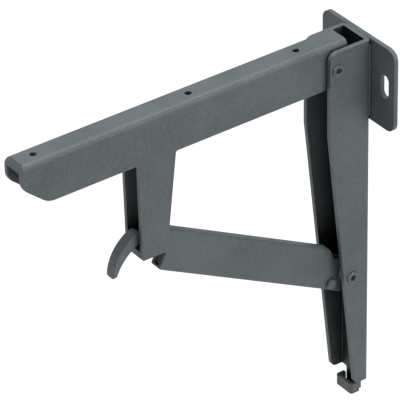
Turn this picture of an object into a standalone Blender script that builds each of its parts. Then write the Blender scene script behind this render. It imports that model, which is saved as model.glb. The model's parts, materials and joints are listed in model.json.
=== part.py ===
"""Folding wall bracket: wall plate and channel, swinging arm with its leg, strut and release lever.

Sizes are in millimetres and are scaled to metres when each mesh is made.
World frame: +X points away from the wall, +Y along the wall, +Z up. The origin is on the
back face of the wall plate, at its centre.
"""
import math

import bmesh
import bpy
from mathutils import Matrix, Vector

MM = 0.001
GAP = 0.3                       # clearance between pieces that touch
ARC_STEP = math.radians(15.0)   # longest turn of one facet along a rounded outline
ROUND_SIDES = 32                # facets around a pin or a hole
MARGIN = 5.0                    # how far a guide solid runs past the piece it shapes

# Wall plate
PLATE_THICKNESS = 3.5
PLATE_HALF_WIDTH = 42.0
PLATE_HALF_HEIGHT = 34.1
PLATE_CORNER = 8.0
SLOT_WIDTH = 9.0
SLOT_LENGTH = 19.0
SLOT_OFFSET = 31.0
SLOT_RISE = 1.5                 # the slots sit this far above the middle of the plate
SLOT_END_TRIM = 0.01            # keeps a sliver of flat between the two round ends

# Wall channel: a U of sheet, web against the plate, its cheeks tapering to the bottom
CHANNEL_SHEET = 3.5
CHANNEL_HALF_WIDTH = 15.8
CHANNEL_BEND = 3.6
CHANNEL_INNER_BEND = 0.8
CHANNEL_BACK = PLATE_THICKNESS + GAP
CHANNEL_WEB = CHANNEL_BACK + CHANNEL_SHEET
CHANNEL_TOP = 34.0
CHANNEL_FRONT = 41.0
CHANNEL_TAPER_TOP = -37.0
CHANNEL_BOTTOM = -265.0
CHANNEL_BOTTOM_FRONT = 17.1
CHANNEL_TOP_ROUND = 7.0
CHANNEL_TAPER_ROUND = 30.0
CHANNEL_BOTTOM_ROUND = 5.0
TONGUE_HALF_WIDTH = 6.8
TONGUE_BOTTOM = -279.3
TONGUE_ROUND = 1.5
WELD_HALF_LENGTH = 30.0
WELD_ARC = (118.0, 155.0)       # degrees round the channel's bend that the bead follows
WELD_FACE = ((0.0, -0.4), (1.6, -0.05))  # the bead's outer face, from the plate and the cheek

# Hook tray on the tongue below the channel
HOOK_FRONT = 15.5
HOOK_HALF_WIDTH = 9.5
HOOK_TOP = -270.6
HOOK_WALL = 2.5
HOOK_ROUND = 2.0
HOOK_INNER_ROUND = 0.8

# Pivots, as (x, z)
ARM_PIVOT = (34.2, 19.0)
STRUT_PIVOT = (19.9, -165.75)
LEVER_PIVOT = (196.8, -66.2)
PIN_RADIUS = 4.0
HEAD_RADIUS = 4.9
HEAD_HEIGHT = 1.2
HEAD_CHAMFER = (1.0, 0.7)       # inward and down, at the head's rim
DIMPLE_RADIUS = 2.7
DIMPLE_FLOOR = 2.0
DIMPLE_DEPTH = 1.8

# Arm: an inverted U of sheet whose cheeks run down into the leg
ARM_SHEET = 3.0
ARM_HALF_WIDTH = 10.5
ARM_BEND = 4.0
ARM_REAR = 21.8
ARM_FRONT = 301.8
ARM_TOP = 38.0
ARM_BOTTOM = 2.4
NOSE_HEIGHT = 18.05             # height of the slanting cut under the front end
NOSE_LENGTH = 21.0
NOSE_ROUND = 14.5
NOSE_FRONT_ROUND = 11.0
NOSE_BROW = (3.2, 5.0)          # length and height of the slope from the top to the front edge
NOSE_BROW_ROUND = 3.6
LIP_DROP = 6.0                  # the top sheet turns down this far across the front end
LIP_ROUND = 1.0
LIP_ROOT = 0.5                  # how far the lip reaches into each cheek
TOP_HOLES = (60.0, 154.5, 285.0)
TOP_HOLE_RADIUS = 2.65

# Leg
LEG_BOTTOM = -78.3
LEG_FRONT_TOP = 205.4
LEG_FRONT_BOTTOM = 204.0
LEG_BACK_TOP = 173.2
LEG_BACK_BOTTOM = 182.8
LEG_FOOT_ROUND = 0.8
LEG_ROOT_ROUND = 2.0
BRIDGE_HEIGHT = 6.0
BRIDGE_DEPTH = 3.2
BRIDGE_ROUND = 0.6
BRIDGE_FLOOR_BACK = 191.2       # the strip's floor runs back to here under the lever
BRIDGE_FLOOR = 2.0
LEG_INSIDE = ARM_HALF_WIDTH - ARM_SHEET

# Strut: a flat tube that leans out from its pivot; s runs along it and h across it
STRUT_ANGLE = math.radians(28.06)
STRUT_HALF_WIDTH = 5.25
STRUT_TOP = 15.5
STRUT_BOTTOM = -16.9
STRUT_WALL = 2.5
STRUT_TOP_BEND = 3.0
STRUT_BOTTOM_BEND = 1.5
STRUT_INNER_BEND = 0.8
STRUT_LOWER_END = 180.4
STRUT_NOSE_END = 190.4
STRUT_NOSE_STEP = -2.5
STRUT_EAR = 8.0
STRUT_EAR_ROUND = 6.0
STRUT_TRIM_ROUND = 4.0
STRUT_TAIL_ROUND = 2.0
STRUT_FOOT_ROUND = 2.5          # lower corner of the open end
STRUT_NOSE_ROUND = 3.0
STRUT_SMALL_ROUND = 1.0         # the nose's other corners and the heel's
STRUT_TAIL = (-6.4, -4.8)       # where the back end turns in, at the ear and at the bottom
STRUT_TRIM = 22.4               # full depth starts here, clear of the web when folded
PLUG_RECESS = 1.2               # the plug in the strut's open end, set in from the end
PLUG_LENGTH = 4.0
PLUG_ROUND = 0.6
HEEL_HALF_HEIGHT = 3.0
HEEL_CENTRE = -7.0
BUSH_WALL = 0.9
ARM_BUSH_WALL = 1.4
LEVER_SPACER_WALL = 1.3
PIN_CHAMFER = 0.3
SPACER_RADIUS = 6.4

# Guide rivet through the strut near its pivot, as (s, h)
GUIDE_CENTRE = (8.65, -10.9)
GUIDE_SHANK = 2.1
GUIDE_HEAD = 3.9
GUIDE_REACH = 8.8
GUIDE_CHAMFER = 0.9

# Support pin that the strut's nose carries, and the release lever
SUPPORT_RADIUS = 3.5
SUPPORT_HEIGHT = 3.0
LEVER_HALF_WIDTH = 4.25
LEVER_BOSS = 4.2
LEVER_PIN_RADIUS = 2.0
LEVER_EDGE = 1.1
LEVER_OUTER = ((205.8, -58.3), (218.0, -68.1), (225.6, -87.4))
LEVER_TIP = ((225.5, -88.6), (224.9, -89.6), (223.9, -89.8), (223.0, -89.2))
LEVER_INNER = ((222.6, -88.0), (214.2, -75.2), (203.0, -67.3))
LEVER_TIP_ROUND = 4.6
LEVER_TIP_EASE = (0.5, 0.2)     # the rounding outline stands this far out past the tip
LEVER_SHOULDER = ((201.0, -60.3), (201.4, -58.4), (202.3, -58.0))
LEVER_WAIST = ((4.2, -1.6), (2.4, -3.4))    # from the pivot, as are the three sizes below
LUG_RIGHT = 0.8
LUG_BOTTOM = -6.0
LUG_TOP = -2.5
LEVER_ARC_STEPS = 9
BOSS_ANGLES = [math.radians(200.0 - 20.0 * k) for k in range(6)]
SPRING_WIRE = 0.4
SPRING_RADIUS = 2.85
SPRING_PITCH = 0.95
SPRING_TURNS = 1.6
SPRING_LEG = 6.5
SPRING_START = math.radians(200.0)
SPRING_STEPS = 16               # straight pieces in one turn

PAINT = (0.115, 0.140, 0.145)
DARK_PAINT = (0.085, 0.100, 0.105)
STEEL = (0.42, 0.43, 0.43)
BRASS = (0.42, 0.33, 0.16)


def clear_scene():
    for thing in list(bpy.data.objects):
        bpy.data.objects.remove(thing, do_unlink=True)


def make_material(name, colour, roughness, metallic):
    material = bpy.data.materials.new(name)
    material.use_nodes = True
    shader = material.node_tree.nodes["Principled BSDF"]
    shader.inputs["Base Color"].default_value = (*colour, 1.0)
    shader.inputs["Roughness"].default_value = roughness
    shader.inputs["Metallic"].default_value = metallic
    return material


def painted(name):
    return make_material(name + "_paint", PAINT, 0.45, 0.0)


def bare_steel(name):
    return make_material(name + "_steel", STEEL, 0.38, 1.0)


# ---- outlines -------------------------------------------------------------------------------

def rounded(corners):
    """Outline through (a, b, radius) corners, each turned into an arc of its radius."""
    outline = []
    count = len(corners)
    for index, (a, b, radius) in enumerate(corners):
        here = Vector((a, b))
        before = (Vector(corners[index - 1][:2]) - here).normalized()
        after = (Vector(corners[(index + 1) % count][:2]) - here).normalized()
        if radius <= 0.0:
            outline.append(here)
            continue
        half = before.angle(after) / 2.0
        start = here + before * (radius / math.tan(half))
        end = here + after * (radius / math.tan(half))
        centre = here + (before + after).normalized() * (radius / math.sin(half))
        outline.extend(arc_between(centre, start, end))
    return outline


def arc_between(centre, start, end):
    """Points of the short arc from start to end around centre."""
    first = start - centre
    last = end - centre
    turn = math.atan2(first.x * last.y - first.y * last.x, first.dot(last))
    steps = max(1, math.ceil(abs(turn) / ARC_STEP))
    return [centre + Matrix.Rotation(turn * k / steps, 2) @ first for k in range(steps + 1)]


def arc_through(start, middle, end, steps):
    """Points of the arc through three points."""
    a, b, c = Vector(start), Vector(middle), Vector(end)
    d = 2.0 * (a.x * (b.y - c.y) + b.x * (c.y - a.y) + c.x * (a.y - b.y))
    x = (a.dot(a) * (b.y - c.y) + b.dot(b) * (c.y - a.y) + c.dot(c) * (a.y - b.y)) / d
    y = (a.dot(a) * (c.x - b.x) + b.dot(b) * (a.x - c.x) + c.dot(c) * (b.x - a.x)) / d
    centre = Vector((x, y))
    first = a - centre
    last = c - centre
    turn = math.atan2(first.x * last.y - first.y * last.x, first.dot(last))
    return [centre + Matrix.Rotation(turn * k / steps, 2) @ first for k in range(steps + 1)]


def circle(centre, radius, sides=ROUND_SIDES):
    turns = [2.0 * math.pi * k / sides for k in range(sides)]
    return [Vector((centre[0] + radius * math.cos(t), centre[1] + radius * math.sin(t))) for t in turns]


# ---- solids ---------------------------------------------------------------------------------

# The two outline directions and the extrusion direction for each axis.
AXES = {
    "X": (Vector((0, 1, 0)), Vector((0, 0, 1)), Vector((1, 0, 0))),
    "Y": (Vector((1, 0, 0)), Vector((0, 0, 1)), Vector((0, 1, 0))),
    "Z": (Vector((1, 0, 0)), Vector((0, 1, 0)), Vector((0, 0, 1))),
}


def mesh_object(name, mesh):
    """An object for a mesh made in millimetres, scaled to metres and facing outward."""
    body = bmesh.new()
    body.from_mesh(mesh)
    bmesh.ops.recalc_face_normals(body, faces=body.faces)
    body.to_mesh(mesh)
    body.free()
    mesh.transform(Matrix.Scale(MM, 4))
    thing = bpy.data.objects.new(name, mesh)
    bpy.context.scene.collection.objects.link(thing)
    return thing


def prism(name, outline, axis, low, high):
    """A straight solid: an outline in the plane across the axis, from low to high along it."""
    across, up, along = AXES[axis]
    body = bmesh.new()
    rings = []
    for level in (low, high):
        points = [across * p[0] + up * p[1] + along * level for p in outline]
        rings.append([body.verts.new(point) for point in points])
    count = len(outline)
    body.faces.new(rings[0])
    body.faces.new(rings[1])
    for k in range(count):
        n = (k + 1) % count
        body.faces.new((rings[0][k], rings[0][n], rings[1][n], rings[1][k]))
    mesh = bpy.data.meshes.new(name)
    body.to_mesh(mesh)
    body.free()
    return mesh_object(name, mesh)


def turned(name, centre, profile, sides=ROUND_SIDES):
    """A turned solid about an axis along Y: profile holds (radius, y), and ends at radius 0 cap it."""
    closed = profile[0][0] > 0.0
    body = bmesh.new()
    rings = []
    for radius, y in profile:
        if radius == 0.0:
            rings.append([body.verts.new((centre[0], y, centre[1]))])
            continue
        rings.append([body.verts.new((p[0], y, p[1])) for p in circle(centre, radius, sides)])
    pairs = list(zip(rings, rings[1:]))
    if closed:
        pairs.append((rings[-1], rings[0]))
    for one, two in pairs:
        for k in range(sides):
            n = (k + 1) % sides
            corners = [one[k % len(one)], one[n % len(one)], two[n % len(two)], two[k % len(two)]]
            body.faces.new(list(dict.fromkeys(corners)))
    mesh = bpy.data.meshes.new(name)
    body.to_mesh(mesh)
    body.free()
    thing = mesh_object(name, mesh)
    smooth(thing)
    return thing


def tube(name, centre, inner, outer, low, high):
    return turned(name, centre, [(inner, low), (outer, low), (outer, high), (inner, high)])


def smooth(thing):
    thing.data.shade_smooth()
    thing.data.set_sharp_from_angle(angle=math.radians(35.0))


def combine(thing, cutter, operation):
    """Cut the thing with a guide solid, or keep only what lies inside it."""
    cutter.hide_render = True
    cutter.display_type = "WIRE"
    modifier = thing.modifiers.new(cutter.name, "BOOLEAN")
    modifier.operation = operation
    modifier.solver = "EXACT"
    modifier.object = cutter


def drill(thing, centre, radius):
    """A round hole along Y right through the thing."""
    reach = 3.0 * CHANNEL_HALF_WIDTH
    cutter = prism(thing.name + "_drill", circle(centre, radius), "Y", -reach, reach)
    combine(thing, cutter, "DIFFERENCE")
    return cutter


def finish(thing, material, parent, guides=()):
    """Give the thing its material, and hang it and its guides on a pivot or a frame empty."""
    thing.data.materials.append(material)
    for piece in (thing, *guides):
        piece.data.transform(Matrix.Translation(-parent.location))
        piece.parent = parent
    return thing


def empty(name, x, z):
    """A joint's axis, or the bracket's own frame, as an empty."""
    axis = bpy.data.objects.new(name, None)
    axis.location = Vector((x, 0.0, z)) * MM
    bpy.context.scene.collection.objects.link(axis)
    return axis


# ---- wall side ------------------------------------------------------------------------------

def wall_plate(frame):
    size = (PLATE_HALF_WIDTH, PLATE_HALF_HEIGHT)
    signs = ((1, 1), (-1, 1), (-1, -1), (1, -1))
    outline = rounded([(a * size[0], b * size[1], PLATE_CORNER) for a, b in signs])
    plate = prism("wall_plate", outline, "X", 0.0, PLATE_THICKNESS)
    half = (SLOT_WIDTH / 2.0, SLOT_LENGTH / 2.0)
    slots = []
    for side in (-1, 1):
        centre = side * SLOT_OFFSET
        corners = [(centre + a * half[0], SLOT_RISE + b * half[1]) for a, b in signs]
        ends = [(*corner, half[0] - SLOT_END_TRIM) for corner in corners]
        slot = prism("plate_slot", rounded(ends), "X", -MARGIN, PLATE_THICKNESS + MARGIN)
        combine(plate, slot, "DIFFERENCE")
        slots.append(slot)
    finish(plate, painted("wall_plate"), frame, slots)


def wall_channel(frame):
    inside = CHANNEL_HALF_WIDTH - CHANNEL_SHEET
    mouth = CHANNEL_FRONT + MARGIN
    section = rounded([
        (mouth, CHANNEL_HALF_WIDTH, 0.0),
        (CHANNEL_BACK, CHANNEL_HALF_WIDTH, CHANNEL_BEND),
        (CHANNEL_BACK, -CHANNEL_HALF_WIDTH, CHANNEL_BEND),
        (mouth, -CHANNEL_HALF_WIDTH, 0.0),
        (mouth, -inside, 0.0),
        (CHANNEL_WEB, -inside, CHANNEL_INNER_BEND),
        (CHANNEL_WEB, inside, CHANNEL_INNER_BEND),
        (mouth, inside, 0.0),
    ])
    side = rounded([
        (CHANNEL_FRONT, CHANNEL_TOP, CHANNEL_TOP_ROUND),
        (CHANNEL_FRONT, CHANNEL_TAPER_TOP, CHANNEL_TAPER_ROUND),
        (CHANNEL_BOTTOM_FRONT, CHANNEL_BOTTOM, CHANNEL_BOTTOM_ROUND),
        (CHANNEL_WEB, CHANNEL_BOTTOM, TONGUE_ROUND),
        (CHANNEL_WEB, TONGUE_BOTTOM, 0.0),
        (0.0, TONGUE_BOTTOM, 0.0),
        (0.0, CHANNEL_TOP, 0.0),
    ])
    wide = CHANNEL_HALF_WIDTH + MARGIN
    face = rounded([
        (wide, CHANNEL_TOP + MARGIN, 0.0),
        (wide, CHANNEL_BOTTOM, 0.0),
        (TONGUE_HALF_WIDTH, CHANNEL_BOTTOM, TONGUE_ROUND),
        (TONGUE_HALF_WIDTH, TONGUE_BOTTOM - MARGIN, 0.0),
        (-TONGUE_HALF_WIDTH, TONGUE_BOTTOM - MARGIN, 0.0),
        (-TONGUE_HALF_WIDTH, CHANNEL_BOTTOM, TONGUE_ROUND),
        (-wide, CHANNEL_BOTTOM, 0.0),
        (-wide, CHANNEL_TOP + MARGIN, 0.0),
    ])
    channel = prism("wall_channel", section, "Z", TONGUE_BOTTOM - MARGIN, CHANNEL_TOP + MARGIN)
    guides = [
        prism("channel_side", side, "Y", -2.0 * wide, 2.0 * wide),
        prism("channel_face", face, "X", -MARGIN, mouth + MARGIN),
    ]
    for guide in guides:
        combine(channel, guide, "INTERSECT")
    for pivot in (ARM_PIVOT, STRUT_PIVOT):
        guides.append(drill(channel, pivot, PIN_RADIUS + GAP))
    finish(channel, painted("wall_channel"), frame, guides)


def channel_weld(name, side, frame):
    """A bead in the groove between the plate and one bend of the channel."""
    bend = Vector((CHANNEL_BACK + CHANNEL_BEND, CHANNEL_HALF_WIDTH - CHANNEL_BEND))
    reach = CHANNEL_BEND + GAP
    start, end = (bend + reach * Vector((math.cos(a), math.sin(a))) for a in map(math.radians, WELD_ARC))
    groove = arc_between(bend, start, end)
    corner = Vector((CHANNEL_BACK, CHANNEL_HALF_WIDTH))
    face = [corner + Vector(offset) for offset in WELD_FACE]
    outline = [Vector((p.x, side * p.y)) for p in groove + face]
    bead = prism(name, outline, "Z", -WELD_HALF_LENGTH, WELD_HALF_LENGTH)
    finish(bead, painted(name), frame)


def bottom_hook(frame):
    """A small tray welded to the tongue: two sides, a floor and a front lip."""
    back = CHANNEL_WEB + GAP
    edge = HOOK_HALF_WIDTH
    outline = rounded([
        (HOOK_FRONT, edge, HOOK_ROUND),
        (HOOK_FRONT, -edge, HOOK_ROUND),
        (back, -edge, 0.0),
        (back, edge, 0.0),
    ])
    hook = prism("bottom_hook", outline, "Z", TONGUE_BOTTOM, HOOK_TOP)
    inner = edge - HOOK_WALL
    front = HOOK_FRONT - HOOK_WALL
    pocket = rounded([
        (front, inner, HOOK_INNER_ROUND),
        (front, -inner, HOOK_INNER_ROUND),
        (0.0, -inner, 0.0),
        (0.0, inner, 0.0),
    ])
    cutter = prism("hook_pocket", pocket, "Z", TONGUE_BOTTOM + HOOK_WALL, HOOK_TOP + MARGIN)
    combine(hook, cutter, "DIFFERENCE")
    finish(hook, painted("bottom_hook"), frame, [cutter])


def head_profile(end):
    """Half of a hollow rivet, from the dimple in its head down to the shank."""
    top = end + HEAD_HEIGHT
    floor = top - DIMPLE_DEPTH
    inward, down = HEAD_CHAMFER
    return [
        (0.0, floor),
        (DIMPLE_FLOOR, floor),
        (DIMPLE_RADIUS, top),
        (HEAD_RADIUS - inward, top),
        (HEAD_RADIUS, top - down),
        (HEAD_RADIUS, end),
        (PIN_RADIUS, end),
    ]


def pivot_pin(name, pivot, frame):
    """A rivet across the channel's cheeks, with a dimpled head on each side."""
    near = head_profile(CHANNEL_HALF_WIDTH + GAP)
    far = [(radius, -y) for radius, y in reversed(near)]
    pin = turned(name, pivot, near + far)
    finish(pin, bare_steel(name), frame)


# ---- arm ------------------------------------------------------------------------------------

def arm_channel(axis):
    top = ARM_TOP - ARM_SHEET
    low = LEG_BOTTOM - MARGIN
    slope, drop = NOSE_BROW
    section = rounded([
        (ARM_HALF_WIDTH, low, 0.0),
        (ARM_HALF_WIDTH, ARM_TOP, ARM_BEND),
        (-ARM_HALF_WIDTH, ARM_TOP, ARM_BEND),
        (-ARM_HALF_WIDTH, low, 0.0),
        (-LEG_INSIDE, low, 0.0),
        (-LEG_INSIDE, top, ARM_BEND - ARM_SHEET),
        (LEG_INSIDE, top, ARM_BEND - ARM_SHEET),
        (LEG_INSIDE, low, 0.0),
    ])
    side = rounded([
        (ARM_REAR, ARM_TOP + MARGIN, 0.0),
        (ARM_FRONT - 2.0 * slope, ARM_TOP + drop, 0.0),
        (ARM_FRONT, ARM_TOP - drop, NOSE_BROW_ROUND),
        (ARM_FRONT, ARM_BOTTOM + NOSE_HEIGHT, NOSE_FRONT_ROUND),
        (ARM_FRONT - NOSE_LENGTH, ARM_BOTTOM, NOSE_ROUND),
        (LEG_FRONT_TOP, ARM_BOTTOM, LEG_ROOT_ROUND),
        (LEG_FRONT_BOTTOM, LEG_BOTTOM, LEG_FOOT_ROUND),
        (LEG_BACK_BOTTOM, LEG_BOTTOM, LEG_FOOT_ROUND),
        (LEG_BACK_TOP, ARM_BOTTOM, LEG_ROOT_ROUND),
        (ARM_REAR, ARM_BOTTOM, LEG_ROOT_ROUND),
    ])
    arm = prism("arm_channel", section, "X", ARM_REAR - MARGIN, ARM_FRONT + MARGIN)
    wide = 2.0 * ARM_HALF_WIDTH
    guides = [front_lip(), prism("arm_side", side, "Y", -wide, wide)]
    combine(arm, guides[0], "UNION")
    combine(arm, guides[1], "INTERSECT")
    for x in TOP_HOLES:
        hole = prism("top_hole", circle((x, 0.0), TOP_HOLE_RADIUS, 20), "Z", top - MARGIN, ARM_TOP + MARGIN)
        combine(arm, hole, "DIFFERENCE")
        guides.append(hole)
    guides.append(drill(arm, ARM_PIVOT, PIN_RADIUS + GAP))
    finish(arm, painted("arm_channel"), axis, guides)


def front_lip():
    """The down-turned end of the top sheet, rooted in the sheet around it; the side outline trims it."""
    root = ARM_SHEET / 2.0
    back = ARM_FRONT - ARM_SHEET
    front = ARM_FRONT + MARGIN
    outline = rounded([
        (back, ARM_TOP - root, 0.0),
        (front, ARM_TOP - root, 0.0),
        (front, ARM_TOP - LIP_DROP, 0.0),
        (back, ARM_TOP - LIP_DROP, LIP_ROUND),
    ])
    return prism("front_lip", outline, "Y", -LEG_INSIDE - LIP_ROOT, LEG_INSIDE + LIP_ROOT)


def leg_bridge(axis):
    """The bent strip that ties the leg's cheeks at the bottom: a low front and a floor."""
    edge = LEG_INSIDE - GAP
    front = LEG_FRONT_BOTTOM
    top = LEG_BOTTOM + BRIDGE_HEIGHT
    back = front - BRIDGE_DEPTH
    floor = LEG_BOTTOM + BRIDGE_FLOOR
    corners = (
        (front, LEG_BOTTOM),
        (front, top),
        (back, top),
        (back, floor),
        (BRIDGE_FLOOR_BACK, floor),
        (BRIDGE_FLOOR_BACK, LEG_BOTTOM),
    )
    outline = rounded([(*corner, BRIDGE_ROUND) for corner in corners])
    bridge = prism("leg_bridge", outline, "Y", -edge, edge)
    finish(bridge, painted("leg_bridge"), axis)


def support_point():
    """World (x, z) of the support pin, just beyond the flat end of the strut's nose."""
    s = STRUT_NOSE_END + GAP + SUPPORT_RADIUS
    return strut_to_world(s, SUPPORT_HEIGHT)


def strut_to_world(s, h):
    x = STRUT_PIVOT[0] + s * math.cos(STRUT_ANGLE) - h * math.sin(STRUT_ANGLE)
    z = STRUT_PIVOT[1] + s * math.sin(STRUT_ANGLE) + h * math.cos(STRUT_ANGLE)
    return (x, z)


def cross_pin(name, centre, radius, axis):
    """A plain pin between the leg's cheeks."""
    end = LEG_INSIDE - GAP
    shoulder = end - PIN_CHAMFER
    half = [(0.0, end), (radius - PIN_CHAMFER, end), (radius, shoulder)]
    profile = half + [(r, -y) for r, y in reversed(half)]
    pin = turned(name, centre, profile, 24)
    finish(pin, bare_steel(name), axis)


def arm_bush(axis):
    end = LEG_INSIDE - GAP
    inner = PIN_RADIUS + GAP
    bush = tube("arm_pivot_bush", ARM_PIVOT, inner, inner + ARM_BUSH_WALL, -end, end)
    finish(bush, make_material("arm_pivot_bush_brass", BRASS, 0.4, 1.0), axis)


def lever_spacer(axis):
    inner = LEVER_PIN_RADIUS + GAP
    low = GAP - LEG_INSIDE
    high = -LEVER_HALF_WIDTH - GAP
    spacer = tube("lever_spacer", LEVER_PIVOT, inner, inner + LEVER_SPACER_WALL, low, high)
    finish(spacer, bare_steel("lever_spacer"), axis)


def lever_spring(axis):
    """A torsion spring beside the lever: one leg on the support pin, the other under the lever."""
    middle = (LEVER_HALF_WIDTH + LEG_INSIDE) / 2.0
    steps = round(SPRING_TURNS * SPRING_STEPS)
    points = []
    for k in range(steps + 1):
        part = k / steps
        angle = SPRING_START + 2.0 * math.pi * SPRING_TURNS * part
        y = middle + SPRING_PITCH * SPRING_TURNS * (part - 0.5)
        points.append(spring_point(angle, y))
    ends = (spring_leg(points[0], SPRING_START, -1), spring_leg(points[-1], angle, 1))
    route = [ends[0], *points, ends[1]]
    curve = bpy.data.curves.new("lever_spring", "CURVE")
    curve.dimensions = "3D"
    curve.bevel_depth = SPRING_WIRE * MM
    curve.bevel_resolution = 2
    curve.use_fill_caps = True
    spline = curve.splines.new("POLY")
    spline.points.add(len(route) - 1)
    for knot, point in zip(spline.points, route):
        knot.co = (*(point * MM - axis.location), 1.0)
    spring = bpy.data.objects.new("lever_spring", curve)
    bpy.context.scene.collection.objects.link(spring)
    curve.materials.append(bare_steel("lever_spring"))
    spring.parent = axis


def spring_point(angle, y):
    x = LEVER_PIVOT[0] + SPRING_RADIUS * math.cos(angle)
    z = LEVER_PIVOT[1] + SPRING_RADIUS * math.sin(angle)
    return Vector((x, y, z))


def spring_leg(point, angle, way):
    """The straight end of the wire, running on along the coil's tangent."""
    tangent = Vector((-math.sin(angle), 0.0, math.cos(angle)))
    return point + way * SPRING_LEG * tangent


# ---- strut ----------------------------------------------------------------------------------

def strut_section(inset, top_round, bottom_round):
    """Outline across the strut, set in from its outside."""
    thin = STRUT_HALF_WIDTH - inset
    top = STRUT_TOP - inset
    bottom = STRUT_BOTTOM + inset
    return rounded([
        (thin, top, top_round),
        (-thin, top, top_round),
        (-thin, bottom, bottom_round),
        (thin, bottom, bottom_round),
    ])


def strut_tube(axis):
    """Made along its own axes with the pivot at zero, then leant out by its empty."""
    outer = strut_section(0.0, STRUT_TOP_BEND, STRUT_BOTTOM_BEND)
    inner = strut_section(STRUT_WALL, STRUT_INNER_BEND, STRUT_INNER_BEND)
    reach = CHANNEL_WEB + GAP - STRUT_PIVOT[0]
    heel = [world_to_strut(reach, HEEL_CENTRE + k * HEEL_HALF_HEIGHT) for k in (1, -1)]
    step = STRUT_TRIM - (STRUT_TOP - STRUT_EAR)
    side = rounded([
        (STRUT_LOWER_END, STRUT_BOTTOM, STRUT_FOOT_ROUND),
        (STRUT_LOWER_END, STRUT_NOSE_STEP, STRUT_SMALL_ROUND),
        (STRUT_NOSE_END, STRUT_NOSE_STEP, STRUT_SMALL_ROUND),
        (STRUT_NOSE_END, STRUT_TOP, STRUT_NOSE_ROUND),
        (STRUT_TRIM, STRUT_TOP, STRUT_TRIM_ROUND),
        (step, STRUT_EAR, STRUT_TRIM_ROUND),
        (STRUT_TAIL[0], STRUT_EAR, STRUT_EAR_ROUND),
        (*heel[0], STRUT_SMALL_ROUND),
        (*heel[1], STRUT_SMALL_ROUND),
        (STRUT_TAIL[1], STRUT_BOTTOM, STRUT_TAIL_ROUND),
    ])
    back = -3.0 * STRUT_EAR
    front = STRUT_NOSE_END + MARGIN
    wide = STRUT_HALF_WIDTH + MARGIN
    strut = prism("strut_tube", outer, "X", back, front)
    guides = [
        prism("strut_side", side, "Y", -wide, wide),
        prism("strut_hollow", inner, "X", back - MARGIN, front + MARGIN),
    ]
    combine(strut, guides[0], "INTERSECT")
    combine(strut, guides[1], "DIFFERENCE")
    guides.append(drill(strut, (0.0, 0.0), PIN_RADIUS + BUSH_WALL + 2.0 * GAP))
    guides.append(drill(strut, GUIDE_CENTRE, GUIDE_SHANK + GAP))
    hang_on_strut(strut, painted("strut_tube"), axis, guides)


def strut_plug(axis):
    """A block that closes the strut's open end."""
    outline = strut_section(STRUT_WALL + GAP, PLUG_ROUND, PLUG_ROUND)
    end = STRUT_LOWER_END - PLUG_RECESS
    plug = prism("strut_plug", outline, "X", end - PLUG_LENGTH, end)
    hang_on_strut(plug, painted("strut_plug"), axis)


def world_to_strut(x, z):
    """Strut (s, h) of a point given from the strut's pivot in world (x, z)."""
    s = x * math.cos(STRUT_ANGLE) + z * math.sin(STRUT_ANGLE)
    h = z * math.cos(STRUT_ANGLE) - x * math.sin(STRUT_ANGLE)
    return (s, h)


def hang_on_strut(thing, material, axis, guides=()):
    """Pieces of the strut are modelled at its pivot, so its empty places them."""
    thing.data.materials.append(material)
    for piece in (thing, *guides):
        piece.parent = axis


def strut_bush(axis):
    inner = PIN_RADIUS + GAP
    bush = tube("strut_bush", (0.0, 0.0), inner, inner + BUSH_WALL, -STRUT_HALF_WIDTH, STRUT_HALF_WIDTH)
    hang_on_strut(bush, make_material("strut_bush_brass", BRASS, 0.4, 1.0), axis)


def guide_rivet(axis):
    """A rivet whose thick round heads keep the strut centred between the channel's cheeks."""
    face = STRUT_HALF_WIDTH + GAP
    half = [
        (0.0, GUIDE_REACH),
        (GUIDE_HEAD - GUIDE_CHAMFER, GUIDE_REACH),
        (GUIDE_HEAD, GUIDE_REACH - GUIDE_CHAMFER),
        (GUIDE_HEAD, face),
        (GUIDE_SHANK, face),
    ]
    mirrored = [(radius, -y) for radius, y in reversed(half)]
    rivet = turned("guide_rivet", GUIDE_CENTRE, half + mirrored)
    hang_on_strut(rivet, painted("guide_rivet"), axis)


def strut_spacer(name, side, frame):
    """A ring on the pin between the strut and one cheek of the channel."""
    inside = CHANNEL_HALF_WIDTH - CHANNEL_SHEET
    ends = sorted((side * (STRUT_HALF_WIDTH + GAP), side * (inside - GAP)))
    spacer = tube(name, STRUT_PIVOT, PIN_RADIUS + GAP, SPACER_RADIUS, ends[0], ends[1])
    finish(spacer, bare_steel(name), frame)


# ---- lever ----------------------------------------------------------------------------------

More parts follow.
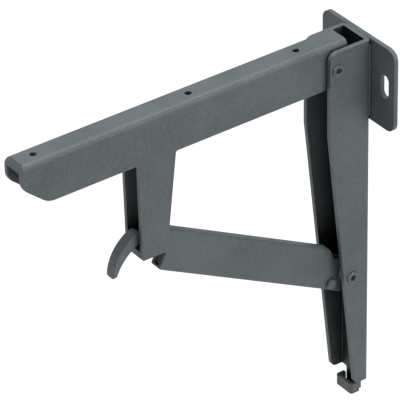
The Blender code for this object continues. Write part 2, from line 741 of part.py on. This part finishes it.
def release_lever(axis):
    """A curved finger lever: boss and stop lug inside the leg, the tip outside and below it."""
    x, z = LEVER_PIVOT
    outer = arc_through(*LEVER_OUTER, LEVER_ARC_STEPS)
    inner = arc_through(*LEVER_INNER, LEVER_ARC_STEPS)
    tip = [Vector(point) for point in LEVER_TIP]
    shoulder = [Vector(point) for point in LEVER_SHOULDER]
    waist = [Vector((x + a, z + b)) for a, b in LEVER_WAIST]
    lug_left = support_point()[0] + SUPPORT_RADIUS + GAP
    lug = [
        Vector((x + LUG_RIGHT, z + LUG_BOTTOM)),
        Vector((lug_left, z + LUG_BOTTOM)),
        Vector((lug_left, z + LUG_TOP)),
    ]
    boss = [Vector((x + LEVER_BOSS * math.cos(a), z + LEVER_BOSS * math.sin(a))) for a in BOSS_ANGLES]
    outline = shoulder + outer + tip + inner + waist + lug + boss
    lever = prism("release_lever", outline, "Y", -LEVER_HALF_WIDTH, LEVER_HALF_WIDTH)
    wide = LEVER_HALF_WIDTH + LEVER_TIP_EASE[0]
    low = min(point[1] for point in LEVER_TIP) - LEVER_TIP_EASE[1]
    face = rounded([
        (wide, 0.0, 0.0),
        (wide, low, LEVER_TIP_ROUND),
        (-wide, low, LEVER_TIP_ROUND),
        (-wide, 0.0, 0.0),
    ])
    tip_guide = prism("lever_tip", face, "X", x - 4.0 * MARGIN, x + 10.0 * MARGIN)
    combine(lever, tip_guide, "INTERSECT")
    bevel = lever.modifiers.new("soft_edges", "BEVEL")
    bevel.width = LEVER_EDGE * MM
    bevel.segments = 2
    bevel.limit_method = "ANGLE"
    bevel.angle_limit = math.radians(60.0)
    hole = drill(lever, LEVER_PIVOT, LEVER_PIN_RADIUS + GAP)
    finish(lever, make_material("release_lever_paint", DARK_PAINT, 0.4, 0.0), axis, [tip_guide, hole])


# ---- assembly -------------------------------------------------------------------------------

def build():
    clear_scene()
    frame = empty("bracket_frame", 0.0, 0.0)
    arm_axis = empty("arm_axis", *ARM_PIVOT)
    lever_axis = empty("lever_axis", *LEVER_PIVOT)
    strut_axis = empty("strut_axis", *STRUT_PIVOT)
    strut_axis.rotation_euler = (0.0, -STRUT_ANGLE, 0.0)

    wall_plate(frame)
    wall_channel(frame)
    channel_weld("channel_weld_near", 1, frame)
    channel_weld("channel_weld_far", -1, frame)
    bottom_hook(frame)
    pivot_pin("arm_pivot_pin", ARM_PIVOT, frame)
    pivot_pin("strut_pivot_pin", STRUT_PIVOT, frame)
    strut_spacer("strut_spacer_near", 1, frame)
    strut_spacer("strut_spacer_far", -1, frame)

    arm_channel(arm_axis)
    leg_bridge(arm_axis)
    arm_bush(arm_axis)
    cross_pin("support_pin", support_point(), SUPPORT_RADIUS, arm_axis)
    cross_pin("lever_pin", LEVER_PIVOT, LEVER_PIN_RADIUS, arm_axis)
    lever_spacer(arm_axis)
    lever_spring(arm_axis)

    strut_tube(strut_axis)
    strut_plug(strut_axis)
    strut_bush(strut_axis)
    guide_rivet(strut_axis)

    release_lever(lever_axis)


build()
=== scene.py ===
"""Looks for a folding wall bracket: powder-coated steel, rubbed rivet heads, rippled welds.

Lengths are in metres. World frame: +X away from the wall, +Y along it, +Z up.
"""

import json
import math

import bmesh
import bpy
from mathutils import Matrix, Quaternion, Vector


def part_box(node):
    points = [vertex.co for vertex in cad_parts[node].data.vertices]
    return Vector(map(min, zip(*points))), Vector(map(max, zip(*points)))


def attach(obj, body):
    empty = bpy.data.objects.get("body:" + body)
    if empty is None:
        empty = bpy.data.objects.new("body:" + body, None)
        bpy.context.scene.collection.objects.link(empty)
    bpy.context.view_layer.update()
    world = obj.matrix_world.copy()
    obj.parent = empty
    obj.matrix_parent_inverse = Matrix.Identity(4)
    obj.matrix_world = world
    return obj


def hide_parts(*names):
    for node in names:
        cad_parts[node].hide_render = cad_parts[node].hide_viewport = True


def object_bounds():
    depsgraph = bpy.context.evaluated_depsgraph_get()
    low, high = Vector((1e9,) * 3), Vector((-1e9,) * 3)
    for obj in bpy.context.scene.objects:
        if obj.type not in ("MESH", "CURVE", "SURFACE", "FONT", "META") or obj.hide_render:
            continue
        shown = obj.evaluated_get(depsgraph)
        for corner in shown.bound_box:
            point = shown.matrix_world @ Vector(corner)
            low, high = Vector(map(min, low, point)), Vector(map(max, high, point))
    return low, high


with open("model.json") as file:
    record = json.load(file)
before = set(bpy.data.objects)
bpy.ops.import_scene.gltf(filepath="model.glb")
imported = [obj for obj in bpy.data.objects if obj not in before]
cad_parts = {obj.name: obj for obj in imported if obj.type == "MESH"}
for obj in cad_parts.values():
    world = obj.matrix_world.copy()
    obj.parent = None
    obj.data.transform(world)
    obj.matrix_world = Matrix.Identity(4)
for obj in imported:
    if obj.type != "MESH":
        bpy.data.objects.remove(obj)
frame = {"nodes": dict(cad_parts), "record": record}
cad_low, cad_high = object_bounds()
CENTRE = (cad_low + cad_high) / 2.0

# Camera: a long lens, above the near side and in front of the arm's end
CAMERA_TURN = math.radians(54.62)
CAMERA_RISE = math.radians(33.22)
CAMERA_ROLL = math.radians(-1.185)
CAMERA_DISTANCE = 2.674
CAMERA_LENS = 333.0             # in millimetres, as is the sensor
CAMERA_SENSOR = 36.0
CAMERA_SIGHT = 50.0             # nothing farther away than this is drawn
CAMERA_AIM = Vector((-0.0211, -0.0230, 0.0473))     # from the middle of the bracket

# Lights: where each one lies from the bracket, its strength, and its width in degrees
TOP_LIGHT = ((0.0, -0.08, 1.0), 5.3, 40.0)
SIDE_LIGHT = ((-0.25, 0.95, 0.30), 1.56, 36.0)
WORLD_COLOUR = (0.97, 0.98, 1.0, 1.0)
WORLD_STRENGTH = 0.16

# Floor
FLOOR_DROP = 0.45               # from the bracket's lowest point
FLOOR_REACH = 12.0
FLOOR_DARK = (0.545, 0.545, 0.545)
FLOOR_LIGHT = (0.555, 0.555, 0.555)
FLOOR_ROUGHNESS = 0.8
FLOOR_SHINE = 0.2
FLOOR_BUMP = (0.0001, 0.1)      # each bump is a depth and a strength

# Colours
PAINT_DARK = (0.053, 0.067, 0.071)
PAINT_LIGHT = (0.088, 0.106, 0.111)
LEVER_DARK = (0.065, 0.080, 0.084)
LEVER_LIGHT = (0.085, 0.103, 0.108)
WORN_PAINT = (0.22, 0.245, 0.25)
# painted shade: the near-black that closed-in corners are darkened towards
PAINTED_CORNER_SHADE = (0.012, 0.014, 0.015)
# painted shade: the near-black of the hollows and of the rivet dimples
PAINTED_SHADE_BLACK = (0.004, 0.005, 0.006)
STEEL = (0.46, 0.47, 0.47)
DARK_STEEL = (0.24, 0.24, 0.24)
RUBBED_STEEL = (0.80, 0.81, 0.81)
BRASS_LIGHT = (0.48, 0.37, 0.17)
BRASS_DARK = (0.30, 0.22, 0.10)

# Noise patterns: how large and how broken up they are, and the levels that become 0 and 1
WIDE = (0.3, 0.7)
EVEN = (0.35, 0.65)
COAT_CLOUDS = dict(size=0.045, detail=3.0, levels=EVEN)
COAT_SPECKLE = dict(size=0.0014, roughness=0.6, levels=(0.36, 0.64))
COAT_PATCHES = dict(size=0.006, detail=3.0, roughness=0.65, levels=(0.44, 0.62))
COAT_GLOSS = dict(size=0.012, detail=3.0, levels=WIDE)
ORANGE_PEEL = dict(size=0.0011, detail=1.0)
FINE_PEEL = dict(size=0.00035, detail=1.0)
STEEL_LINES = dict(size=0.0022, detail=3.0, roughness=0.7, stretch=(1.0, 14.0, 1.0))
STEEL_GLOSS = dict(size=0.003, detail=3.0, levels=WIDE)
RIVET_TONE = dict(size=0.0016, detail=3.0, levels=EVEN)
RIVET_PATCHES = dict(size=0.0032, detail=3.0, roughness=0.6, levels=(0.50, 0.60))
RIVET_GRAIN = dict(size=0.0012)
FLOOR_CLOUDS = dict(size=0.4, levels=WIDE)
FLOOR_GRAIN = dict(size=0.002)

# Edges and corners
EDGE_RADIUS = 0.0006            # width of the rounded, rubbed edges
FINE_EDGE_RADIUS = 0.0003       # on turned pieces and rivets
EDGE_LEVELS = (0.995, 0.90)     # cosines of the normal's turn where an edge starts and is full
CORNER_LEVELS = (0.75, 0.25)    # openness at which a corner starts to darken and is full
SHADE_SAMPLES = 6

# Powder coat
CLOUD_SHARE = 0.45
SPECKLE_SHARE = 0.55
COAT_WEAR = 0.75
# painted shade in the coat's corners: how far it reaches and how strong it is
COAT_CORNER_REACH = 0.004
COAT_CORNER_SHADE = 0.3
COAT_ROUGHNESS = (0.44, 0.56)
FINE_PEEL_SHARE = 0.5
PEEL_DEPTH = 0.00012
PEEL_STRENGTH = 0.35
SHINE = 0.35

# Hollows of the wall channel and the arm, painted near-black as shade
HOLLOW_SHADE_REACH = 0.03
HOLLOW_SHADE_STRENGTH = 0.97
# painted shade reaches full on the web at a shallower depth than on the cheeks
WEB_REACH = 0.0018              # the channel's web and the rounded corners beside it
WEB_LEVELS = (1.0, 0.7)
CHEEK_LEVELS = (0.62, 0.35)
CHANNEL_SHEET = 0.0035
ARM_SHEET = 0.003
SKIN = 0.0002                   # takes in the face of the sheet itself

# Turned steel and brass
STEEL_EDGE_LIGHT = 0.5
# painted shade in the steel's corners: how far it reaches and how strong it is
STEEL_CORNER_REACH = 0.003
STEEL_CORNER_SHADE = 0.7
STEEL_ROUGHNESS = (0.28, 0.46)
STEEL_BUMP = (0.00008, 0.4)

# Rivet heads
DIMPLE_SHADE_RADIUS = 0.0017          # radius of the painted black shade in the middle of a rivet's dimple
DIMPLE_SHADE_BLUR = 0.0005
DIMPLE_SHADE_REACH = 0.0025
RIVET_ROUGHNESS = (0.5, 0.3)    # where painted, and where rubbed bright
RIVET_BUMP = (0.0001, 0.3)

# Weld beads
RIPPLE_PITCH = 0.0022
RIPPLE_DEPTH = 0.16             # share of the bead's height
RIPPLE_ROWS = 6                 # rings of points in one ripple
BEAD_SIDES = 12
BEAD_FILL = 0.0005              # how far the bead runs on towards the plate
BEAD_END = 0.0018               # length over which each end swells up
BEAD_END_SIZE = 0.25            # share of the full height at the very end


# ---- shader nodes ---------------------------------------------------------------------------

class Shader:
    """A material's node tree, with short calls for the nodes used here."""

    def __init__(self, name):
        self.material = bpy.data.materials.new(name)
        self.material.use_nodes = True
        self.tree = self.material.node_tree
        self.surface = self.tree.nodes["Principled BSDF"]
        self.place = self.add("ShaderNodeTexCoord").outputs["Object"]

    def add(self, kind, **inputs):
        node = self.tree.nodes.new(kind)
        for name, value in inputs.items():
            self.feed(node.inputs[name.replace("_", " ")], value)
        return node

    def feed(self, socket, value):
        if isinstance(value, bpy.types.NodeSocket):
            self.tree.links.new(value, socket)
        elif hasattr(value, "__len__") and len(value) == 3 and socket.type == "RGBA":
            socket.default_value = (*value, 1.0)
        else:
            socket.default_value = value

    def noise(self, size, detail=2.0, roughness=0.5, stretch=None, levels=None):
        """Soft noise with features about `size` metres across, pulled out between two levels."""
        place = self.place
        if stretch:
            place = self.add("ShaderNodeMapping", Vector=place, Scale=stretch).outputs["Vector"]
        node = self.add(
            "ShaderNodeTexNoise", Vector=place, Scale=1.0 / size, Detail=detail, Roughness=roughness)
        if levels:
            return self.remap(node.outputs["Fac"], *levels)
        return node.outputs["Fac"]

    def remap(self, value, low, high, to_low=0.0, to_high=1.0):
        node = self.add("ShaderNodeMapRange")
        for index, number in enumerate((value, low, high, to_low, to_high)):
            self.feed(node.inputs[index], number)
        return node.outputs[0]

    def between(self, amount, ends):
        """The first end where the amount is 0, the second where it is 1."""
        return self.remap(amount, 0.0, 1.0, *ends)

    def math(self, operation, a, b):
        node = self.add("ShaderNodeMath")
        node.operation = operation
        self.feed(node.inputs[0], a)
        self.feed(node.inputs[1], b)
        return node.outputs[0]

    def times(self, a, b):
        return self.math("MULTIPLY", a, b)

    def vector(self, operation, a, b=None):
        node = self.add("ShaderNodeVectorMath")
        node.operation = operation
        self.feed(node.inputs[0], a)
        if b is not None:
            self.feed(node.inputs[1], b)
        return node.outputs

    def mix(self, amount, a, b):
        node = self.tree.nodes.new("ShaderNodeMix")
        node.data_type = "RGBA"
        self.feed(node.inputs[0], amount)
        self.feed(node.inputs[6], a)
        self.feed(node.inputs[7], b)
        return node.outputs[2]

    def edge(self, radius):
        """(normal rounded over the edges, how much each point is on an edge from 0 to 1)."""
        bevel = self.add("ShaderNodeBevel", Radius=radius)
        bevel.samples = SHADE_SAMPLES
        normal = self.add("ShaderNodeNewGeometry").outputs["Normal"]
        turn = self.vector("DOT_PRODUCT", bevel.outputs["Normal"], normal)["Value"]
        return bevel.outputs["Normal"], self.remap(turn, *EDGE_LEVELS)

    def corner_shade(self, reach, levels=CORNER_LEVELS):
        """0 in the open and 1 deep in a corner."""
        shade = self.add("ShaderNodeAmbientOcclusion", Distance=reach)
        shade.samples = SHADE_SAMPLES
        return self.remap(shade.outputs["AO"], *levels)

    def inside(self, low, high):
        """1 within a box and 0 outside it."""
        split = self.add("ShaderNodeSeparateXYZ", Vector=self.place)
        mask = 1.0
        for axis in range(3):
            value = split.outputs[axis]
            mask = self.times(mask, self.math("GREATER_THAN", value, low[axis]))
            mask = self.times(mask, self.math("LESS_THAN", value, high[axis]))
        return mask

    def away_from_axis(self, middle):
        """Distance from an axis along Y through a point."""
        offset = self.vector("SUBTRACT", self.place, middle)["Vector"]
        across = self.vector("MULTIPLY", offset, (1.0, 0.0, 1.0))["Vector"]
        return self.vector("LENGTH", across)["Value"]

    def bump(self, height, depth, strength, normal=None):
        node = self.add("ShaderNodeBump", Height=height, Distance=depth, Strength=strength)
        if normal:
            self.feed(node.inputs["Normal"], normal)
        return node.outputs["Normal"]

    def finish(self, colour, roughness, normal, metallic=0.0, specular=SHINE):
        self.feed(self.surface.inputs["Base Color"], colour)
        self.feed(self.surface.inputs["Roughness"], roughness)
        self.feed(self.surface.inputs["Normal"], normal)
        self.surface.inputs["Metallic"].default_value = metallic
        self.surface.inputs["Specular IOR Level"].default_value = specular
        return self.material


# ---- finishes -------------------------------------------------------------------------------

def powder_coat(name, dark, light, wear=1.0, grain=1.0, hollows=()):
    """Satin powder coat: faint clouding, fine speckle, orange peel, rubbed edges, painted shade in
    corners and painted near-black shade in the hollows.
    """
    s = Shader(name)
    clouds = s.times(s.noise(**COAT_CLOUDS), CLOUD_SHARE)
    speckle = s.times(s.noise(**COAT_SPECKLE), SPECKLE_SHARE * grain)
    colour = s.mix(s.math("ADD", clouds, speckle), dark, light)
    rounded, edge = s.edge(EDGE_RADIUS)
    rubbed = s.times(s.times(edge, s.noise(**COAT_PATCHES)), COAT_WEAR * wear)
    colour = s.mix(rubbed, colour, WORN_PAINT)
    # painted shade: corners of the coat darkened by how closed in they are
    colour = s.mix(s.times(s.corner_shade(COAT_CORNER_REACH), COAT_CORNER_SHADE), colour, PAINTED_CORNER_SHADE)
    for box, levels in hollows:
        # painted shade: inner faces darkened to near-black by how deep they lie in the hollow
        depth = s.times(s.corner_shade(HOLLOW_SHADE_REACH, levels), HOLLOW_SHADE_STRENGTH)
        colour = s.mix(s.times(s.inside(*box), depth), colour, PAINTED_SHADE_BLACK)
    peel = s.math("ADD", s.noise(**ORANGE_PEEL), s.times(s.noise(**FINE_PEEL), FINE_PEEL_SHARE))
    normal = s.bump(peel, PEEL_DEPTH, PEEL_STRENGTH * grain, rounded)
    roughness = s.between(s.noise(**COAT_GLOSS), COAT_ROUGHNESS)
    return s.finish(colour, roughness, normal)


def turned_metal(name, light, dark):
    """Turned steel or brass: fine lines round the pin, dull patches, painted shade in the corners."""
    s = Shader(name)
    lines = s.noise(**STEEL_LINES)
    colour = s.mix(s.remap(lines, *EVEN), dark, light)
    rounded, edge = s.edge(FINE_EDGE_RADIUS)
    colour = s.mix(s.times(edge, STEEL_EDGE_LIGHT), colour, light)
    # painted shade: corners of the steel darkened by how closed in they are
    colour = s.mix(s.times(s.corner_shade(STEEL_CORNER_REACH), STEEL_CORNER_SHADE), colour, PAINTED_CORNER_SHADE)
    roughness = s.between(s.noise(**STEEL_GLOSS), STEEL_ROUGHNESS)
    return s.finish(colour, roughness, s.bump(lines, *STEEL_BUMP, rounded), metallic=1.0)


def rivet_finish(node):
    """Painted rivet head, rubbed bright on its edges in patches, with painted black shade in its
    dimple.
    """
    s = Shader(node)
    low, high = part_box(node)
    rounded, edge = s.edge(FINE_EDGE_RADIUS)
    bright = s.times(edge, s.noise(**RIVET_PATCHES))
    colour = s.mix(s.noise(**RIVET_TONE), PAINT_DARK, PAINT_LIGHT)
    colour = s.mix(bright, colour, RUBBED_STEEL)
    # painted shade: closed-in spots of the head, the dimple most, darkened to near-black
    colour = s.mix(s.corner_shade(DIMPLE_SHADE_REACH), colour, PAINTED_SHADE_BLACK)
    radius = s.away_from_axis((low + high) / 2.0)
    # painted shade: a black disc in the middle of the dimple
    dimple = s.remap(radius, DIMPLE_SHADE_RADIUS + DIMPLE_SHADE_BLUR, DIMPLE_SHADE_RADIUS)
    colour = s.mix(dimple, colour, PAINTED_SHADE_BLACK)
    roughness = s.between(bright, RIVET_ROUGHNESS)
    return s.finish(colour, roughness, s.bump(s.noise(**RIVET_GRAIN), *RIVET_BUMP, rounded))


def channel_hollow_shade():
    """The boxes that hold the inner faces of the wall channel, painted as shade: the web alone, then
    the cheeks.
    """
    low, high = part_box("wall_channel")
    side = high.y - CHANNEL_SHEET + SKIN
    bottom = low.z - SKIN
    top = high.z - SKIN
    web = low.x + CHANNEL_SHEET
    web_box = (Vector((web - SKIN, -side, bottom)), Vector((web + WEB_REACH, side, top)))
    cheek_box = (Vector((web + WEB_REACH, -side, bottom)), Vector((high.x - SKIN, side, top)))
    return ((web_box, WEB_LEVELS), (cheek_box, CHEEK_LEVELS))


def arm_hollow_shade():
    """The box that holds the inner faces of the arm and its leg, painted as shade."""
    low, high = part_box("arm_channel")
    side = high.y - ARM_SHEET + SKIN
    half_sheet = ARM_SHEET / 2.0
    box = (
        Vector((low.x + SKIN, -side, low.z - SKIN)),
        Vector((high.x - half_sheet, side, high.z - half_sheet)),
    )
    return ((box, CHEEK_LEVELS),)


def all_finishes():
    """Finishes by slot, and by node where one node differs from its slot."""
    return {
        "paint": powder_coat("paint", PAINT_DARK, PAINT_LIGHT),
        "lever_paint": powder_coat("lever_paint", LEVER_DARK, LEVER_LIGHT, wear=0.7, grain=0.6),
        "bare_steel": turned_metal("bare_steel", STEEL, DARK_STEEL),
        "bush_brass": turned_metal("bush_brass", BRASS_LIGHT, BRASS_DARK),
        "arm_pivot_pin": rivet_finish("arm_pivot_pin"),
        "strut_pivot_pin": rivet_finish("strut_pivot_pin"),
        "wall_channel": powder_coat("channel_paint", PAINT_DARK, PAINT_LIGHT, hollows=channel_hollow_shade()),
        "arm_channel": powder_coat("arm_paint", PAINT_DARK, PAINT_LIGHT, hollows=arm_hollow_shade()),
    }


def dress(finishes):
    """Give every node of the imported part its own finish, or else the one of its slot."""
    for part in frame["record"]["subparts"]:
        thing = frame["nodes"][part["node"]]
        thing.data.materials.clear()
        finish = finishes.get(part["node"]) or finishes[part["material_slot"]]
        thing.data.materials.append(finish)


# ---- weld beads -----------------------------------------------------------------------------

def bead_size(run, length):
    """Share of the bead's full height at a distance along it."""
    phase = (run / RIPPLE_PITCH) % 1.0
    ripple = 1.0 - RIPPLE_DEPTH * (2.0 * phase - 1.0) ** 2
    return ripple * min(1.0, min(run, length - run) / BEAD_END + BEAD_END_SIZE)


def weld_bead(node, finish):
    """A rippled bead in place of a plain one, run on towards the plate."""
    low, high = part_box(node)
    side = 1.0 if low.y > 0.0 else -1.0
    inner = min(abs(low.y), abs(high.y))
    outer = max(abs(low.y), abs(high.y))
    left = low.x - BEAD_FILL
    half_x = (high.x - left) / 2.0
    half_y = (outer - inner) / 2.0
    length = high.z - low.z
    rows = round(length / RIPPLE_PITCH * RIPPLE_ROWS)
    body = bmesh.new()
    rings = []
    for row in range(rows + 1):
        run = length * row / rows
        size = bead_size(run, length)
        ring = []
        for k in range(BEAD_SIDES):
            turn = 2.0 * math.pi * k / BEAD_SIDES
            x = left + half_x + half_x * math.cos(turn) * size
            y = inner + half_y + half_y * math.sin(turn) * size
            ring.append(body.verts.new((x, side * y, low.z + run)))
        rings.append(ring)
    for one, two in zip(rings, rings[1:]):
        for k in range(BEAD_SIDES):
            n = (k + 1) % BEAD_SIDES
            body.faces.new((one[k], one[n], two[n], two[k]))
    body.faces.new(rings[0])
    body.faces.new(rings[-1])
    bmesh.ops.recalc_face_normals(body, faces=body.faces)
    mesh = bpy.data.meshes.new("bead_" + node)
    body.to_mesh(mesh)
    body.free()
    mesh.shade_smooth()
    mesh.materials.append(finish)
    bead = bpy.data.objects.new("bead_" + node, mesh)
    bpy.context.scene.collection.objects.link(bead)
    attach(bead, "wall")
    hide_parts(node)


# ---- stage ----------------------------------------------------------------------------------

def floor():
    mesh = bpy.data.meshes.new("floor")
    z = cad_low.z - FLOOR_DROP
    signs = ((-1, -1), (1, -1), (1, 1), (-1, 1))
    corners = [(a * FLOOR_REACH, b * FLOOR_REACH, z) for a, b in signs]
    mesh.from_pydata(corners, [], [(0, 1, 2, 3)])
    thing = bpy.data.objects.new("floor", mesh)
    bpy.context.scene.collection.objects.link(thing)
    s = Shader("floor_paper")
    colour = s.mix(s.noise(**FLOOR_CLOUDS), FLOOR_DARK, FLOOR_LIGHT)
    normal = s.bump(s.noise(**FLOOR_GRAIN), *FLOOR_BUMP)
    mesh.materials.append(s.finish(colour, FLOOR_ROUGHNESS, normal, specular=FLOOR_SHINE))


def sun_light(name, direction, strength, width):
    """A soft, even light that comes from a direction."""
    light = bpy.data.lights.new(name, "SUN")
    light.energy = strength
    light.angle = math.radians(width)
    lamp = bpy.data.objects.new(name, light)
    lamp.location = CENTRE + Vector(direction)
    lamp.rotation_mode = "QUATERNION"
    lamp.rotation_quaternion = (-Vector(direction)).to_track_quat("-Z", "Y")
    bpy.context.scene.collection.objects.link(lamp)


def world_light():
    world = bpy.data.worlds.new("studio")
    world.use_nodes = True
    background = world.node_tree.nodes["Background"]
    background.inputs["Color"].default_value = WORLD_COLOUR
    background.inputs["Strength"].default_value = WORLD_STRENGTH
    bpy.context.scene.world = world


def camera():
    back = Vector((
        math.cos(CAMERA_TURN) * math.cos(CAMERA_RISE),
        math.sin(CAMERA_TURN) * math.cos(CAMERA_RISE),
        math.sin(CAMERA_RISE),
    ))
    data = bpy.data.cameras.new("camera")
    data.lens = CAMERA_LENS
    data.sensor_width = CAMERA_SENSOR
    data.clip_end = CAMERA_SIGHT
    thing = bpy.data.objects.new("camera", data)
    thing.location = CENTRE + CAMERA_AIM + back * CAMERA_DISTANCE
    thing.rotation_mode = "QUATERNION"
    aim = (-back).to_track_quat("-Z", "Y")
    thing.rotation_quaternion = aim @ Quaternion((0.0, 0.0, 1.0), CAMERA_ROLL)
    bpy.context.scene.collection.objects.link(thing)
    bpy.context.scene.camera = thing


camera()
floor()
world_light()
sun_light("top_light", *TOP_LIGHT)
sun_light("side_light", *SIDE_LIGHT)

finishes = all_finishes()
dress(finishes)
for weld in ("channel_weld_near", "channel_weld_far"):
    weld_bead(weld, finishes["paint"])

bpy.context.scene.view_settings.view_transform = "Standard"
